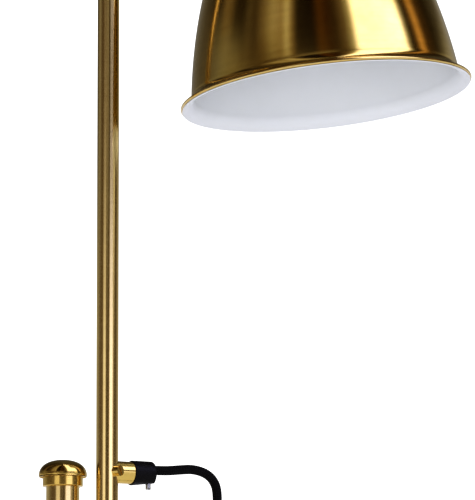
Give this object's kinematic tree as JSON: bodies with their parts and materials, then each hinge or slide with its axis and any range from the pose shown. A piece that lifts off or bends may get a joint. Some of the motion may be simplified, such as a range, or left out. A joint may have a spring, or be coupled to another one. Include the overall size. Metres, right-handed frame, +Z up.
{
  "type": "floor lamp",
  "caption": "Pharmacy floor lamp: round weighted base, column, sliding mast, swivel arm and tilting brass bell shade.",
  "frame": {"origin": "on the floor, on the fixed column's axis, at the centre of the base", "axes": "+Z up; +X from the column to the mast and out to the shade; -Y is the front, where the hand knobs are"},
  "size_m": [0.3625, 0.25, 1.2996],
  "materials": {
    "brass": "antique brushed, lacquered",
    "cast_iron": "as cast, painted black",
    "felt": "felt",
    "steel": "zinc plated",
    "black_plastic": "satin moulded",
    "nylon": "natural nylon",
    "black_cord": "braided textile",
    "wiring": "sheathed flex",
    "white_enamel": "satin white enamel",
    "bulb_glass": "frosted"
  },
  "bodies": {
    "stand": {"floor_pad": "felt", "base_weight": "cast_iron", "base_cover": "brass", "mains_bush": "black_plastic", "terminal_block": "nylon", "base_nipple": "steel", "base_washer": "steel", "base_nut": "steel", "column_foot": "brass", "column_plug": "brass", "column_tube": "brass", "column_cap": "brass", "column_inner_flex": "wiring", "bracket_body": "brass", "bracket_grub_screw": "steel", "bracket_liner": "nylon", "clamp_pad": "nylon", "inlet_boss": "brass", "inlet_screw": "steel", "inlet_grip": "black_plastic", "inlet_grip_screw": "steel", "loop_cord": "black_cord"},
    "mast_clamp": {"mast_clamp_screw": "steel", "mast_clamp_knob": "brass"},
    "mast": {"mast_tube": "brass", "mast_stop_collar": "brass", "stop_collar_screw": "steel", "guide_body": "brass", "guide_liner": "nylon", "guide_screw": "steel", "mast_end_plug": "brass", "outlet_boss": "brass", "outlet_screw": "brass", "outlet_grip": "black_plastic", "outlet_grip_screw": "steel", "mast_inner_flex": "wiring", "head_spindle": "brass", "spindle_washer": "steel", "spindle_nut": "steel"},
    "arm": {"head_body": "brass", "head_cap": "brass", "arm_tube": "brass", "arm_set_screw": "steel", "arm_clevis": "brass", "arm_inner_flex": "wiring", "tilt_bolt": "steel", "tilt_washer": "steel"},
    "tilt_knob": {"tilt_knob": "brass"},
    "shade": {"knuckle_tongue": "brass", "tongue_nut": "steel", "socket_cup": "brass", "shade_shell": "brass", "shade_lining": "white_enamel", "lamp_holder": "black_plastic", "holder_ring": "black_plastic", "switch_body": "black_plastic", "bulb_glass": "bulb_glass", "bulb_cap": "brass"},
    "switch": {"switch_knob": "black_plastic"}
  },
  "joints": [
    {"name": "mast_slide", "type": "slide", "parent": "stand", "child": "mast", "axis": [0, 0, 1], "range_m": [0, 0.3]},
    {"name": "mast_clamp_turn", "type": "hinge", "parent": "stand", "child": "mast_clamp", "pos_m": [0.0253, -0.02, 0.835], "axis": [0, -1, 0], "range_deg": [-180, 180]},
    {"name": "arm_swivel", "type": "hinge", "parent": "mast", "child": "arm", "pos_m": [0.0253, 0, 1.2762], "axis": [0, 0, 1], "range_deg": [-170, 170]},
    {"name": "shade_tilt", "type": "hinge", "parent": "arm", "child": "shade", "pos_m": [0.1338, 0, 1.2762], "axis": [0, -1, 0], "range_deg": [-8, 70]},
    {"name": "tilt_knob_turn", "type": "hinge", "parent": "arm", "child": "tilt_knob", "pos_m": [0.1338, -0.012, 1.2762], "axis": [0, -1, 0], "range_deg": [-180, 180]},
    {"name": "switch_turn", "type": "hinge", "parent": "shade", "child": "switch", "pos_m": [0.16072, 0, 1.25016], "axis": [0.9943, 0, 0.1063], "continuous": true}
  ]
}
